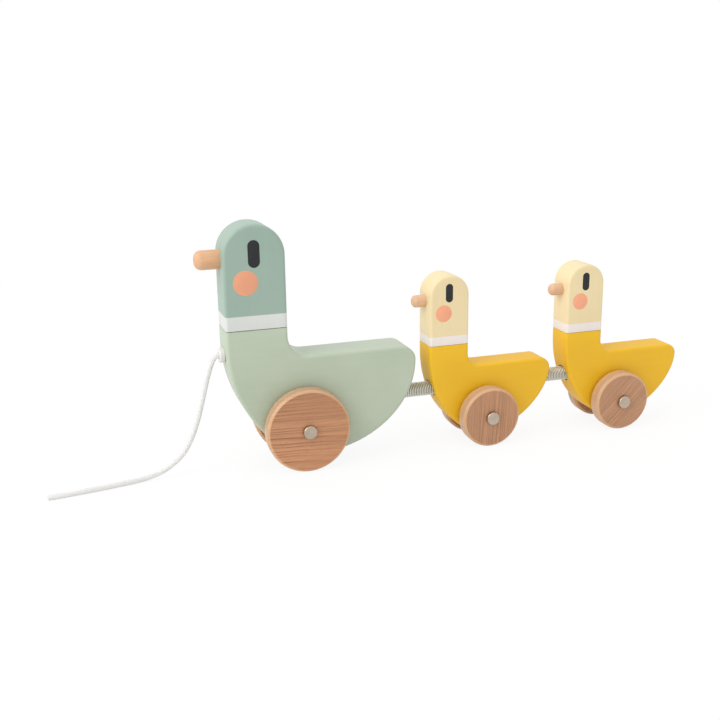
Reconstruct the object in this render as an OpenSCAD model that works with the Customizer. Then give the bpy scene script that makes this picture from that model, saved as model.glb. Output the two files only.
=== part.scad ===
// Pull-along duck train: a mother duck and two ducklings on wooden wheels.
// The train faces -X, its left side is -Y as seen in the main view, and it stands on z = 0.

/* [Mother] */
// Thickness of the mother's board
mother_thick = 26; // [22:0.5:30]
// Axle to the front of the mother's chest
mother_chest = 49.4; // [46:0.2:56]
// Width of the mother's neck and head, front to back
mother_neck = 40; // [34:0.5:44]
// Height of the joint under the mother's head
mother_seam = 96.5; // [92:0.5:106]
// Height at which the mother's chest starts to curve back
mother_chest_bend = 84; // [76:0.5:88]
// Height of the mother's flat tail top
mother_tail_top = 76; // [71:0.2:82]
// Axle to the end of the mother's tail
mother_tail = 78.6; // [70:0.2:92]
// Height of the roundest point at the end of the mother's tail
mother_tail_tip = 66; // [58:0.5:68]
// Height of the mother's belly above the floor
mother_belly = 7; // [5:0.5:12]
// Axle to the lowest point of the mother's belly
mother_keel = 7.5; // [0:0.5:20]
// Radius of the hollow between the mother's neck and tail
mother_hollow = 14; // [4:0.5:15]
// Height of the mother's head above the joint
mother_head_h = 67; // [56:0.5:80]
// Diameter of the mother's beak
mother_beak_d = 12.5; // [9:0.5:15]
// How far the mother's beak stands out
mother_beak_out = 15.8; // [10:0.2:22]
// Height of the mother's beak above the joint
mother_beak_z = 44.5; // [30:0.5:48]
// Diameter of the mother's wheels
mother_wheel_d = 56; // [48:0.5:62]

/* [Ducklings] */
// Thickness of a duckling's board
duckling_thick = 21; // [18:0.5:25]
// Axle to the front of a duckling's chest
duckling_chest = 41.8; // [38:0.2:46]
// Width of a duckling's neck and head, front to back
duckling_neck = 28.5; // [24:0.5:31]
// Height of the joint under a duckling's head
duckling_seam = 72.8; // [68:0.2:80]
// Height at which a duckling's chest starts to curve back
duckling_chest_bend = 66.5; // [60:0.5:68]
// Height of a duckling's flat tail top
duckling_tail_top = 56.6; // [54:0.2:61]
// Axle to the end of a duckling's tail
duckling_tail = 49.8; // [45:0.2:58]
// Height of the roundest point at the end of a duckling's tail
duckling_tail_tip = 49.5; // [45:0.5:51]
// Height of a duckling's belly above the floor
duckling_belly = 6.5; // [5:0.5:11]
// Axle to the lowest point of a duckling's belly
duckling_keel = 2.5; // [-2:0.5:12]
// Radius of the hollow between a duckling's neck and tail
duckling_hollow = 9; // [3:0.5:10]
// Height of a duckling's head above the joint
duckling_head_h = 48.2; // [42:0.2:58]
// Diameter of a duckling's beak
duckling_beak_d = 8.4; // [6:0.2:10]
// How far a duckling's beak stands out
duckling_beak_out = 9.4; // [6:0.2:14]
// Height of a duckling's beak above the joint
duckling_beak_z = 30; // [22:0.5:34]
// Diameter of a duckling's wheels
duckling_wheel_d = 42; // [36:0.5:47]

/* [Wheels and axles] */
// Width of a wheel across its tread
wheel_width = 10.5; // [7:0.5:13]
// Rounding of the edges of the mother's wheels
mother_wheel_edge = 1.6; // [0.5:0.1:3]
// Rounding of the edges of the ducklings' wheels
duckling_wheel_edge = 1.6; // [0.5:0.1:3]
// Diameter of an axle
axle_d = 4; // [3:0.25:6]
// Diameter of an axle cap
cap_d = 9.25; // [7:0.25:12]
// Height of an axle cap
cap_h = 2.6; // [2:0.1:4]
// Rounding of an axle cap's edge
cap_edge = 1; // [0.2:0.1:1.2]

/* [Link springs] */
// Outside diameter of a link spring
spring_od = 10; // [8:0.5:12]
// Thickness of the spring wire
spring_wire = 1.2; // [0.9:0.1:1.5]
// Height of the springs above the floor
spring_z = 40.5; // [39:0.5:44]
// Gap between the mother's tail and the front duckling's chest
front_gap = 10.8; // [9:0.2:20]
// Gap between the front duckling's tail and the rear duckling's chest
rear_gap = 11.8; // [9:0.2:20]
// How deep a spring sits in each board
spring_socket = 12; // [8:0.5:16]

/* [Joinery] */
// Rounding of the boards' edges
board_edge = 2; // [1:0.1:2.5]
// Diameter of the mother's neck dowels
mother_dowel_d = 8; // [6:0.5:10]
// Diameter of the ducklings' neck dowels
duckling_dowel_d = 6; // [4:0.5:8]
// Length of a neck dowel, half of it in each piece
dowel_len = 18; // [12:1:20]
// How deep a beak sits in its head
beak_socket = 10; // [6:0.5:14]
// Chamfer on the ends of dowels and pegs
dowel_chamfer = 0.8; // [0.3:0.1:1.2]

/* [Pull cord] */
// Diameter of the cord
cord_d = 3.6; // [2:0.1:3.8]
// How far the cord's hole lies below the joint under the mother's head
cord_drop = 18; // [15:0.1:21]
// Diameter of the plug's flange
plug_flange = 10; // [9:0.2:13]
// Thickness of the plug's flange
plug_flange_t = 3.2; // [1.2:0.1:4]
// Rounding of the flange's outer edge
plug_edge = 0.8; // [0.2:0.1:1]
// Diameter of the plug's barrel
plug_barrel = 7.5; // [6:0.25:8.5]
// Length of the plug's barrel
plug_len = 8; // [5:0.5:12]
// Diameter of the knot behind the plug
knot_d = 6.6; // [4.8:0.2:7]

/* [Fits] */
// Play of a wheel on its axle, on the radius
wheel_play = 0.08; // [0.03:0.01:0.1]
// Room between a wheel and its board
wheel_gap = 1.2; // [0.3:0.1:2]
// Room between a wheel and its cap
cap_gap = 0.4; // [0.3:0.1:1]
// Room for glue round a dowel, beak, plug or axle, on the radius
glue_gap = 0.05; // [0.02:0.01:0.1]
// Room past the blind end of a hole
end_gap = 0.3; // [0.2:0.1:0.6]
// Room round a spring in its hole, on the radius
spring_room = 0.8; // [0.3:0.1:0.8]
// Room between a spring and the peg in it, on the radius
peg_room = 0.3; // [0.2:0.1:0.5]
// Room round the cord in its plug, on the radius
cord_room = 0.2; // [0.1:0.05:0.4]

/* [Hidden] */
$fn = 64;

// Paint and material colours
sage = "#B3C3AD";
sea_green = "#9DB8AB";
yellow = "#E8B730";
cream = "#EADCB4";
peach = "#E6B58C";
bare_wood = "#C08D68";
nickel = "#BDB3A5";
steel = "#9A9C98";
birch = "#D9BE94";
white = "#ECEAE6";

// Steps along each curve of a board's outline, and across its rounded edge
curve_steps = 20;
edge_steps = 4;
// Steps round one turn of a spring, and sides of its wire
turn_steps = 10;
wire_sides = 5;
// Sides of the cord
cord_sides = 8;
// A cut reaches this far past the surface that it starts from
cut_over = 1;
// Room between neighbouring turns of a spring
turn_gap = 0.06;

// Fullness of the chest and belly curves: about 0.55 is a round quarter, less is flatter
mother_front_full = 0.5;
mother_rear_full = 0.55;
duckling_front_full = 0.55;
duckling_rear_full = 0.46;
tail_full = 0.52;
// Length of the tail's rounded top corner, as a share of the height that it falls
tail_corner = 1.1;
// Rounding of a beak's tip, as a share of its radius
beak_round = 0.75;

// Each duck as one list: thick, chest, neck, seam, chest bend, tail top, tail, tail tip,
// belly, keel, hollow, front fullness, rear fullness
mother = [
  mother_thick, mother_chest, mother_neck, mother_seam, mother_chest_bend, mother_tail_top, mother_tail,
  mother_tail_tip, mother_belly, mother_keel, mother_hollow, mother_front_full, mother_rear_full
];
duckling = [
  duckling_thick, duckling_chest, duckling_neck, duckling_seam, duckling_chest_bend, duckling_tail_top,
  duckling_tail, duckling_tail_tip, duckling_belly, duckling_keel, duckling_hollow, duckling_front_full,
  duckling_rear_full
];
function thick(duck) = duck[0];
function chest_x(duck) = -duck[1];
function neck_w(duck) = duck[2];
function seam_z(duck) = duck[3];
function tail_top(duck) = duck[5];
function tail_end(duck) = duck[6];
function hollow(duck) = duck[10];
function neck_x(duck) = chest_x(duck) + neck_w(duck) / 2;
function neck_back(duck) = chest_x(duck) + neck_w(duck);
// Points that the outline's curves run between, as [x, z]
function chest_point(duck) = [chest_x(duck), duck[4]];
function keel_point(duck) = [duck[9], duck[8]];
function tail_point(duck) = [tail_end(duck), duck[7]];
// A point under the neck from which the whole outline can be seen
function hub_point(duck) = [neck_x(duck), tail_top(duck) - hollow(duck)];

// Points of a cubic curve, the last one left to the next stretch
function curve(a, b, c, d, steps) = [
  for (i = [0:steps - 1])
    let (t = i / steps, s = 1 - t)
    s * s * s * a + 3 * s * s * t * b + 3 * s * t * t * c + t * t * t * d
];

// Chest: from the front of the neck down and back to the keel
function chest_curve(duck) =
  let (top = chest_point(duck), keel = keel_point(duck), full = duck[11])
  curve(top, top - [0, full * (top.y - keel.y)], keel - [full * (keel.x - top.x), 0], keel, curve_steps);

// Belly: from the keel back and up to the tip of the tail
function belly_curve(duck) =
  let (keel = keel_point(duck), tip = tail_point(duck), full = duck[12])
  curve(keel, keel + [full * (tip.x - keel.x), 0], tip - [0, full * (tip.y - keel.y)], tip, curve_steps);

// Tail: the rounded corner from its tip to its flat top
function tail_curve(duck) =
  let (
    tip = tail_point(duck),
    rise = tail_top(duck) - tip.y,
    run = tail_corner * rise,
    flat = tip + [-run, rise]
  )
  concat(curve(tip, tip + [0, tail_full * rise], flat + [tail_full * run, 0], flat, curve_steps / 2), [flat]);

// Hollow: the quarter round from the tail top up to the back of the neck
function hollow_curve(duck) =
  let (r = hollow(duck), centre = [neck_back(duck) + r, tail_top(duck) + r], steps = curve_steps / 2)
  [for (i = [0:steps]) let (a = 270 - 90 * i / steps) centre + r * [cos(a), sin(a)]];

// Whole side outline of a body, carried up past the joint so that its top can be cut flat
function body_outline(duck) =
  let (over = seam_z(duck) + board_edge + cut_over)
  concat(
    [[chest_x(duck), over]], chest_curve(duck), belly_curve(duck), tail_curve(duck), hollow_curve(duck),
    [[neck_back(duck), over]]
  );

// Outline moved into the board by d, square to itself at each point
function unit(v) = v / norm(v);
function inset(outline, d) =
  let (n = len(outline))
  [
    for (i = [0:n - 1])
      let (
        before = unit(outline[i] - outline[(i + n - 1) % n]),
        after = unit(outline[(i + 1) % n] - outline[i]),
        along = unit(before + after),
        stretch = d / max(0.5, along * after)
      )
      outline[i] + stretch * [-along.y, along.x]
  ];

// Board with a rounded edge all round: rings of the outline from one face to the other.
// Each face is closed by a fan from the hub, a point that sees the whole outline.
module rounded_board(outline, t, hub) {
  n = len(outline);
  half = [for (i = [0:edge_steps]) 90 * i / edge_steps];
  rings = concat(
    [for (a = half) [-t / 2 + board_edge * (1 - cos(a)), board_edge * (1 - sin(a))]],
    [for (i = [edge_steps:-1:0]) [t / 2 - board_edge * (1 - cos(half[i])), board_edge * (1 - sin(half[i]))]]
  );
  edges = [for (ring = rings) for (p = inset(outline, ring[1])) [p.x, ring[0], p.y]];
  hubs = [for (side = [-1, 1]) [hub.x, side * t / 2, hub.y]];
  last = len(rings) - 1;
  near_hub = len(edges);
  walls = [
    for (r = [0:last - 1])
      for (i = [0:n - 1])
        let (a = r * n + i, b = r * n + (i + 1) % n)
        each [[a, b, a + n], [b, b + n, a + n]]
  ];
  near = [for (i = [0:n - 1]) [near_hub, (i + 1) % n, i]];
  far = [for (i = [0:n - 1]) [near_hub + 1, last * n + i, last * n + (i + 1) % n]];
  polyhedron(concat(edges, hubs), concat(walls, near, far), convexity = 6);
}

// Where the chest and the tail lie at a height, found on the outline itself
function chest_at(duck, z) = lookup(z, [for (p = chest_curve(duck)) [p.y, p.x]]);
function tail_at(duck, z) = lookup(z, [for (p = belly_curve(duck)) [p.y, p.x]]);

// Places along the train: the origin is midway between the mother's beak tip and the last tail
front_spacing = mother_tail + front_gap + duckling_chest;
rear_spacing = duckling_tail + rear_gap + duckling_chest;
train_len = mother_chest + mother_beak_out + front_spacing + rear_spacing + duckling_tail;
mother_x = mother_chest + mother_beak_out - train_len / 2;
front_x = mother_x + front_spacing;
rear_x = front_x + rear_spacing;

// Places across the train: board, room, wheel, room, cap
function wheel_y(duck) = thick(duck) / 2 + wheel_gap + wheel_width / 2;
function cap_y(duck) = thick(duck) / 2 + wheel_gap + wheel_width + cap_gap;
// An axle ends this far under the top of its cap
cap_roof = 0.8;
axle_hole = axle_d / 2 + glue_gap;

// Springs: mean radius, room for the peg in the coil, and how far a peg stays back from the mouth
coil_r = (spring_od - spring_wire) / 2;
coil_pitch = spring_wire + turn_gap;
socket_r = spring_od / 2 + spring_room;
peg_r = spring_od / 2 - spring_wire - peg_room;
peg_back = 3;

// Cord: height of its hole, and depth of the hole behind the chest
cord_z = mother_seam - cord_drop;
plug_hole = plug_barrel / 2 + glue_gap;
cord_hole = cord_d / 2 + cord_room;
// The knot is cut flat where it bears on the plug, at this share of its radius
knot_cut = 0.8;
knot_len = knot_d / 2 * (1 + knot_cut);

// Height of the cord's middle where it lies on the floor
cord_low = cord_d / 2;

// Route of the cord from the plug's face to its cut end, chosen by hand
cord_points = [
  [-163.7, 0, 78.2], [-165.1, 0, 77.2], [-166.2, 0, 75.7], [-167, 0, 74], [-168.2, 0, 71.2],
  [-169.8, 0, 66.5], [-171.4, 0, 61], [-173.3, 0, 54], [-175.2, 0, 47], [-177.2, 0, 40], [-179.5, 0, 33],
  [-182.2, 0, 26.2], [-185.4, -0.2, 20], [-188.8, -0.4, 15], [-192.6, -0.7, 11.2], [-196.2, -1, 8.5],
  [-200, -1.4, 6.2], [-204.8, -2, 4.2], [-210, -2.8, 2.9], [-216, -3.9, 2.1], [-223, -5.4, cord_low],
  [-230, -7, cord_low], [-237, -8.4, cord_low], [-244, -9.7, cord_low], [-251, -10.9, cord_low],
  [-258, -12, cord_low], [-265, -13, cord_low], [-271, -13.8, cord_low], [-275.6, -14.4, cord_low]
];
plug_face = [mother_x - mother_chest - plug_flange_t, 0, cord_z];
knot_face = [mother_x - mother_chest + plug_len, 0, cord_z];
cord_route = concat([knot_face, plug_face], cord_points);

// Disc outline for turning: rounded at its outer corners, with a hole
module rim_profile(inner, outer, width, edge) {
  translate([inner, -width / 2]) square([outer - edge - inner, width]);
  translate([inner, edge - width / 2]) square([outer - inner, width - 2 * edge]);
  for (side = [-1, 1])
    translate([outer - edge, side * (width / 2 - edge)]) circle(edge);
}

// Peg outline for turning: round at its far end only
module round_end_profile(r, length, edge) {
  square([r - edge, length]);
  square([r, length - edge]);
  translate([r - edge, length - edge])
    intersection() {
      circle(edge);
      square(edge);
    }
}

// Straight dowel with chamfered ends, standing on its end
module dowel(d, length) {
  r = d / 2;
  c = dowel_chamfer;
  rotate_extrude()
    polygon([[0, 0], [r - c, 0], [r, c], [r, length - c], [r - c, length], [0, length]]);
}

// Lays a piece that stands along +Z so that it points out to one side, -1 left or 1 right
module point_sideways(side) rotate([-90 * side, 0, 0]) children();
// Lays a piece that stands along +Z so that it points forwards, or back
module point_forward() rotate([0, -90, 0]) children();
module point_back() rotate([0, 90, 0]) children();

// Places of the two neck dowels, side by side along the neck
module at_dowels(duck) {
  for (side = [-1, 1])
    translate([neck_x(duck) + side * neck_w(duck) / 4, 0, seam_z(duck)]) children();
}

// Body board with its axle hole and dowel holes
module duck_body(duck, wheel, dowel_d) {
  difference() {
    rounded_board(body_outline(duck), thick(duck), hub_point(duck));
    translate([chest_x(duck) - cut_over, -thick(duck), seam_z(duck)])
      cube([neck_w(duck) + 2 * cut_over, 2 * thick(duck), board_edge + 2 * cut_over]);
    translate([0, 0, wheel / 2])
      rotate([90, 0, 0]) cylinder(r = axle_hole, h = thick(duck) + 2 * cut_over, center = true);
    at_dowels(duck)
      translate([0, 0, -dowel_len / 2 - end_gap])
        cylinder(d = dowel_d + 2 * glue_gap, h = dowel_len / 2 + end_gap + cut_over);
  }
}

// Blind hole for a spring, in the tail or in the chest
module tail_socket(duck) {
  start = tail_at(duck, spring_z) - spring_socket;
  translate([start, 0, spring_z])
    point_back() cylinder(r = socket_r, h = tail_end(duck) + cut_over - start);
}
module chest_socket(duck) {
  start = chest_at(duck, spring_z) + spring_socket;
  translate([start, 0, spring_z])
    point_forward() cylinder(r = socket_r, h = start - chest_x(duck) + cut_over);
}

// Head block: a straight neck under a half round top, with its edges rounded
module arch_block(t, w, h) {
  linear_extrude(h - w / 2) {
    square([w, t - 2 * board_edge], center = true);
    square([w - 2 * board_edge, t], center = true);
    for (x = [-1, 1], y = [-1, 1])
      translate([x * (w / 2 - board_edge), y * (t / 2 - board_edge)]) circle(board_edge);
  }
  translate([0, 0, h - w / 2])
    rotate([90, 0, 0])
      rotate_extrude(angle = 180) rim_profile(0, w / 2, t, board_edge);
}

module duck_head(duck, h, beak_d, beak_z, dowel_d) {
  difference() {
    translate([neck_x(duck), 0, seam_z(duck)]) arch_block(thick(duck), neck_w(duck), h);
    at_dowels(duck)
      translate([0, 0, -cut_over])
        cylinder(d = dowel_d + 2 * glue_gap, h = dowel_len / 2 + end_gap + cut_over);
    translate([chest_x(duck) + beak_socket + end_gap, 0, seam_z(duck) + beak_z])
      point_forward() cylinder(d = beak_d + 2 * glue_gap, h = beak_socket + end_gap + cut_over);
  }
}

// Beak: a dowel with a rounded tip
module duck_beak(duck, d, out, z) {
  translate([chest_x(duck) + beak_socket, 0, seam_z(duck) + z])
    point_forward() rotate_extrude() round_end_profile(d / 2, beak_socket + out, beak_round * d / 2);
}

module neck_dowels(duck, d) {
  at_dowels(duck) translate([0, 0, -dowel_len / 2]) dowel(d, dowel_len);
}

module axle(duck, wheel) {
  length = 2 * (cap_y(duck) + cap_h - cap_roof - end_gap);
  translate([0, 0, wheel / 2]) rotate([90, 0, 0]) cylinder(d = axle_d, h = length, center = true);
}

module axle_caps(duck, wheel) {
  for (side = [-1, 1])
    translate([0, side * cap_y(duck), wheel / 2])
      point_sideways(side)
        rotate_extrude()
          difference() {
            round_end_profile(cap_d / 2, cap_h, cap_edge);
            translate([0, -cut_over]) square([axle_hole, cap_h - cap_roof + cut_over]);
          }
}

module wheel(duck, d, edge, side) {
  translate([0, side * wheel_y(duck), d / 2])
    rotate([90, 0, 0])
      rotate_extrude() rim_profile(axle_d / 2 + wheel_play, d / 2, wheel_width, edge);
}

// Pegs that hold a spring's end in its hole
module tail_peg(duck) {
  start = tail_at(duck, spring_z) - spring_socket;
  translate([start, 0, spring_z]) point_back() dowel(2 * peg_r, spring_socket - peg_back);
}
module chest_peg(duck) {
  start = chest_at(duck, spring_z) + spring_socket;
  translate([start, 0, spring_z]) point_forward() dowel(2 * peg_r, spring_socket - peg_back);
}

// Tube of rings: each ring has as many points as there are sides, and its ends are closed
module ring_tube(points, sides) {
  last = len(points) / sides - 1;
  walls = [
    for (r = [0:last - 1])
      for (i = [0:sides - 1])
        let (a = r * sides + i, b = r * sides + (i + 1) % sides)
        each [[a, b, a + sides], [b, b + sides, a + sides]]
  ];
  start = [for (i = [sides - 1:-1:0]) i];
  end = [for (i = [0:sides - 1]) last * sides + i];
  polyhedron(points, concat([start], walls, [end]), convexity = 10);
}

// Close-wound spring from one x to another, in the train's frame
module link_spring(from_x, to_x) {
  turns = floor((to_x - from_x - spring_wire) / coil_pitch * turn_steps) / turn_steps;
  points = [
    for (s = [0:turns * turn_steps])
      let (a = 360 * s / turn_steps, x = from_x + spring_wire / 2 + coil_pitch * s / turn_steps)
      for (i = [0:wire_sides - 1])
        let (w = 360 * i / wire_sides, r = coil_r + spring_wire / 2 * cos(w))
        [x + spring_wire / 2 * sin(w), r * cos(a), spring_z + r * sin(a)]
  ];
  color(steel) ring_tube(points, wire_sides);
}

module front_link_spring() {
  link_spring(
    mother_x + tail_at(mother, spring_z) - spring_socket + end_gap,
    front_x + chest_at(duckling, spring_z) + spring_socket - end_gap
  );
}
module rear_link_spring() {
  link_spring(
    front_x + tail_at(duckling, spring_z) - spring_socket + end_gap,
    rear_x + chest_at(duckling, spring_z) + spring_socket - end_gap
  );
}

// Mother's own pieces, in her frame with the axle over x = 0
module mother_body() {
  color(sage)
    difference() {
      duck_body(mother, mother_wheel_d, mother_dowel_d);
      tail_socket(mother);
      translate([chest_x(mother) - cut_over, 0, cord_z])
        point_back() cylinder(r = plug_hole, h = cut_over + plug_len + knot_len + end_gap);
    }
}
module mother_head() {
  color(sea_green) duck_head(mother, mother_head_h, mother_beak_d, mother_beak_z, mother_dowel_d);
}
module mother_beak() {
  color(peach) duck_beak(mother, mother_beak_d, mother_beak_out, mother_beak_z);
}
module mother_neck_dowels() {
  color(birch) neck_dowels(mother, mother_dowel_d);
}
module mother_axle() {
  color(steel) axle(mother, mother_wheel_d);
}
module mother_axle_caps() {
  color(nickel) axle_caps(mother, mother_wheel_d);
}
module mother_wheel_at(side) {
  color(bare_wood) wheel(mother, mother_wheel_d, mother_wheel_edge, side);
}
module mother_spring_peg() {
  color(birch) tail_peg(mother);
}

// A duckling's pieces, in its own frame; only the front one has a spring in its tail
module duckling_body(has_tail_spring) {
  color(yellow)
    difference() {
      duck_body(duckling, duckling_wheel_d, duckling_dowel_d);
      chest_socket(duckling);
      if (has_tail_spring) tail_socket(duckling);
    }
}
module duckling_head() {
  color(cream) duck_head(duckling, duckling_head_h, duckling_beak_d, duckling_beak_z, duckling_dowel_d);
}
module duckling_beak() {
  color(peach) duck_beak(duckling, duckling_beak_d, duckling_beak_out, duckling_beak_z);
}
module duckling_neck_dowels() {
  color(birch) neck_dowels(duckling, duckling_dowel_d);
}
module duckling_axle() {
  color(steel) axle(duckling, duckling_wheel_d);
}
module duckling_axle_caps() {
  color(nickel) axle_caps(duckling, duckling_wheel_d);
}
module duckling_wheel_at(side) {
  color(bare_wood) wheel(duckling, duckling_wheel_d, duckling_wheel_edge, side);
}
module duckling_spring_pegs(has_tail_spring) {
  color(birch) {
    chest_peg(duckling);
    if (has_tail_spring) tail_peg(duckling);
  }
}

// Plug: a flanged bush in the chest that the cord runs through
module cord_plug() {
  color(white)
    translate([mother_x + chest_x(mother), 0, cord_z]) {
      point_forward()
        rotate_extrude()
          difference() {
            round_end_profile(plug_flange / 2, plug_flange_t, plug_edge);
            translate([0, -cut_over]) square([cord_hole, plug_flange_t + 2 * cut_over]);
          }
      point_back()
        rotate_extrude() translate([cord_hole, 0]) square([plug_barrel / 2 - cord_hole, plug_len]);
    }
}

// Knot: a ball cut flat where it bears on the back of the plug
module cord_knot() {
  color(white)
    translate(knot_face)
      point_back()
        rotate_extrude()
          intersection() {
            translate([0, knot_cut * knot_d / 2]) circle(d = knot_d);
            square([knot_d, knot_len]);
          }
}

// Cord: one tube along its route, square to it at each point
module pull_cord() {
  n = len(cord_route);
  points = [
    for (k = [0:n - 1])
      let (
        along = unit(cord_route[min(k + 1, n - 1)] - cord_route[max(k - 1, 0)]),
        up = unit(cross(along, [0, 1, 0])),
        across = cross(up, along)
      )
      for (i = [0:cord_sides - 1])
        let (w = 360 * i / cord_sides)
        cord_route[k] + cord_d / 2 * (cos(w) * across + sin(w) * up)
  ];
  color(white) ring_tube(points, cord_sides);
}

// Places of the three ducks
module in_mother() translate([mother_x, 0, 0]) children();
module in_front() translate([front_x, 0, 0]) children();
module in_rear() translate([rear_x, 0, 0]) children();

in_mother() mother_body();
in_mother() mother_head();
in_mother() mother_beak();
in_mother() mother_neck_dowels();
in_mother() mother_axle();
in_mother() mother_axle_caps();
in_mother() mother_wheel_at(-1);  // mother_wheel_left
in_mother() mother_wheel_at(1);  // mother_wheel_right
in_mother() mother_spring_peg();
in_front() duckling_body(true);  // front_duckling_body
in_front() duckling_head();  // front_duckling_head
in_front() duckling_beak();  // front_duckling_beak
in_front() duckling_neck_dowels();  // front_duckling_neck_dowels
in_front() duckling_axle();  // front_duckling_axle
in_front() duckling_axle_caps();  // front_duckling_axle_caps
in_front() duckling_wheel_at(-1);  // front_duckling_wheel_left
in_front() duckling_wheel_at(1);  // front_duckling_wheel_right
in_front() duckling_spring_pegs(true);  // front_duckling_spring_pegs
in_rear() duckling_body(false);  // rear_duckling_body
in_rear() duckling_head();  // rear_duckling_head
in_rear() duckling_beak();  // rear_duckling_beak
in_rear() duckling_neck_dowels();  // rear_duckling_neck_dowels
in_rear() duckling_axle();  // rear_duckling_axle
in_rear() duckling_axle_caps();  // rear_duckling_axle_caps
in_rear() duckling_wheel_at(-1);  // rear_duckling_wheel_left
in_rear() duckling_wheel_at(1);  // rear_duckling_wheel_right
in_rear() duckling_spring_pegs(false);  // rear_duckling_spring_peg
front_link_spring();
rear_link_spring();
cord_plug();
cord_knot();
pull_cord();
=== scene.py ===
import math

import bmesh
import bpy
from mathutils import Matrix, Vector


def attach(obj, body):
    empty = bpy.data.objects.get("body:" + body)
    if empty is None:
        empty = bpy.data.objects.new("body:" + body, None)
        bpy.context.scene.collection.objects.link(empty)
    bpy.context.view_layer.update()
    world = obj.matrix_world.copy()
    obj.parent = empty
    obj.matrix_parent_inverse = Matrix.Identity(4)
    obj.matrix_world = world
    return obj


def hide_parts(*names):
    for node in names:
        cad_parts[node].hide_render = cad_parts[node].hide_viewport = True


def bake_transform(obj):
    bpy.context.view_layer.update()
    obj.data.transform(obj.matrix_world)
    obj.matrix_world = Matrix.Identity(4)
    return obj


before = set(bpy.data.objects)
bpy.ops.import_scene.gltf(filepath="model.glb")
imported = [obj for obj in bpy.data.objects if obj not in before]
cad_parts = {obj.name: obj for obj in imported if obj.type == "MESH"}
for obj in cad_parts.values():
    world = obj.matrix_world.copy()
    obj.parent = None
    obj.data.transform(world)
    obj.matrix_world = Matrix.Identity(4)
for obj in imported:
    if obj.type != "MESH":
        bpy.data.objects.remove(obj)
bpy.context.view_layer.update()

bpy.ops.object.select_all(action="DESELECT")
scene = bpy.context.scene
scene.view_settings.view_transform = "Standard"

# Sizes are in millimetres where nothing else is said, and the frame is in metres
MM = 0.001


# Camera, at the photograph's view, with its angles in degrees

CAMERA_PLACE = (-267.4, -630.78, 256.0)
CAMERA_AZIMUTH = -17.646
CAMERA_ELEVATION = 16.044
CAMERA_ROLL = -0.841
CAMERA_LENS = 51.017
SENSOR_WIDTH = 36
# How far the camera sees, in metres
SIGHT = 50


def stand_camera():
    azimuth = math.radians(CAMERA_AZIMUTH)
    elevation = math.radians(CAMERA_ELEVATION)
    roll = math.radians(CAMERA_ROLL)
    level = Vector((math.cos(azimuth), math.sin(azimuth), 0))
    back = Vector((
        math.sin(azimuth) * math.cos(elevation),
        -math.cos(azimuth) * math.cos(elevation),
        math.sin(elevation),
    ))
    rise = back.cross(level)
    right = math.cos(roll) * level + math.sin(roll) * rise
    up = math.cos(roll) * rise - math.sin(roll) * level
    bpy.ops.object.camera_add()
    camera = bpy.context.object
    camera.name = "camera"
    turn = Matrix((right, up, back)).transposed().to_4x4()
    camera.matrix_world = Matrix.Translation(Vector(CAMERA_PLACE) * MM) @ turn
    camera.data.lens = CAMERA_LENS
    camera.data.sensor_width = SENSOR_WIDTH
    camera.data.clip_end = SIGHT
    scene.camera = camera


stand_camera()


# Hand tools

# Points closer than this are merged, in a finished piece and along a sawn outline
MERGE = 0.002
OUTLINE_MERGE = 0.01
# How close an edge or a face has to be to its place to be picked
NEAR = 0.01
# How much of a face's normal has to lie along an axis for the face to be flat to it, or dead flat
FLAT = 0.99
DEAD_FLAT = 0.999
# A wall's normal lies less than this across the train
WALL = 0.5
# Corners under this angle are smoothed, in degrees
SMOOTH_ANGLE = 32
# Outline points that bend less than this are dropped, in degrees
STRAIGHT_ANGLE = 0.2
ROD_SIDES = 64


def put_down():
    bpy.ops.object.select_all(action="DESELECT")


def only(piece):
    """Selects one piece alone and makes it active."""
    put_down()
    piece.select_set(True)
    bpy.context.view_layer.objects.active = piece


def call(piece, name):
    """Names a piece and its mesh."""
    piece.name = name
    piece.data.name = name


def apply_place():
    """Puts the place of the selected piece into its mesh."""
    bpy.ops.object.transform_apply(location=True, rotation=True, scale=True)


def shape_open(piece):
    only(piece)
    bpy.ops.object.mode_set(mode="EDIT")


def shape_done():
    bpy.ops.object.mode_set(mode="OBJECT")


def pick(piece, kind, wanted):
    """In edit mode, selects only the edges or faces that are wanted."""
    bpy.ops.mesh.select_mode(type={"edges": "EDGE", "faces": "FACE"}[kind])
    bpy.ops.mesh.select_all(action="DESELECT")
    shape = bmesh.from_edit_mesh(piece.data)
    for part in list(getattr(shape, kind)):
        if wanted(part):
            part.select_set(True)
    bmesh.update_edit_mesh(piece.data)


def pick_all():
    bpy.ops.mesh.select_all(action="SELECT")


def turn_out():
    """In edit mode, turns all faces outwards."""
    pick_all()
    bpy.ops.mesh.normals_make_consistent(inside=False)


def step_in(width):
    """Insets the picked faces."""
    bpy.ops.mesh.inset(thickness=width * MM)


def pull(move):
    """Extrudes the picked faces."""
    bpy.ops.mesh.extrude_region_move(TRANSFORM_OT_translate={"value": Vector(move) * MM})


def round_over(width, steps, profile=0.5):
    """Rounds the picked edges."""
    bpy.ops.mesh.bevel(offset=width * MM, segments=steps, profile=profile, clamp_overlap=False)


def round_rim(piece, wanted, width, steps):
    """Rounds the rim of the faces that are wanted."""
    pick(piece, "faces", wanted)
    bpy.ops.mesh.region_to_loop()
    round_over(width, steps)


def bridge_ends(piece):
    """Closes a bore between the two open rims of a piece."""
    pick(piece, "edges", lambda edge: edge.is_boundary)
    bpy.ops.mesh.bridge_edge_loops()


def face_out(piece):
    """Merges doubles and turns all faces outwards."""
    shape_open(piece)
    pick_all()
    bpy.ops.mesh.remove_doubles(threshold=MERGE * MM)
    turn_out()
    shape_done()


def use_modifier(piece, kind, **settings):
    """Adds a modifier to a piece and applies it."""
    only(piece)
    modifier = piece.modifiers.new(kind.lower(), kind)
    for name, value in settings.items():
        setattr(modifier, name, value)
    bpy.ops.object.modifier_apply(modifier=modifier.name)


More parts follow.
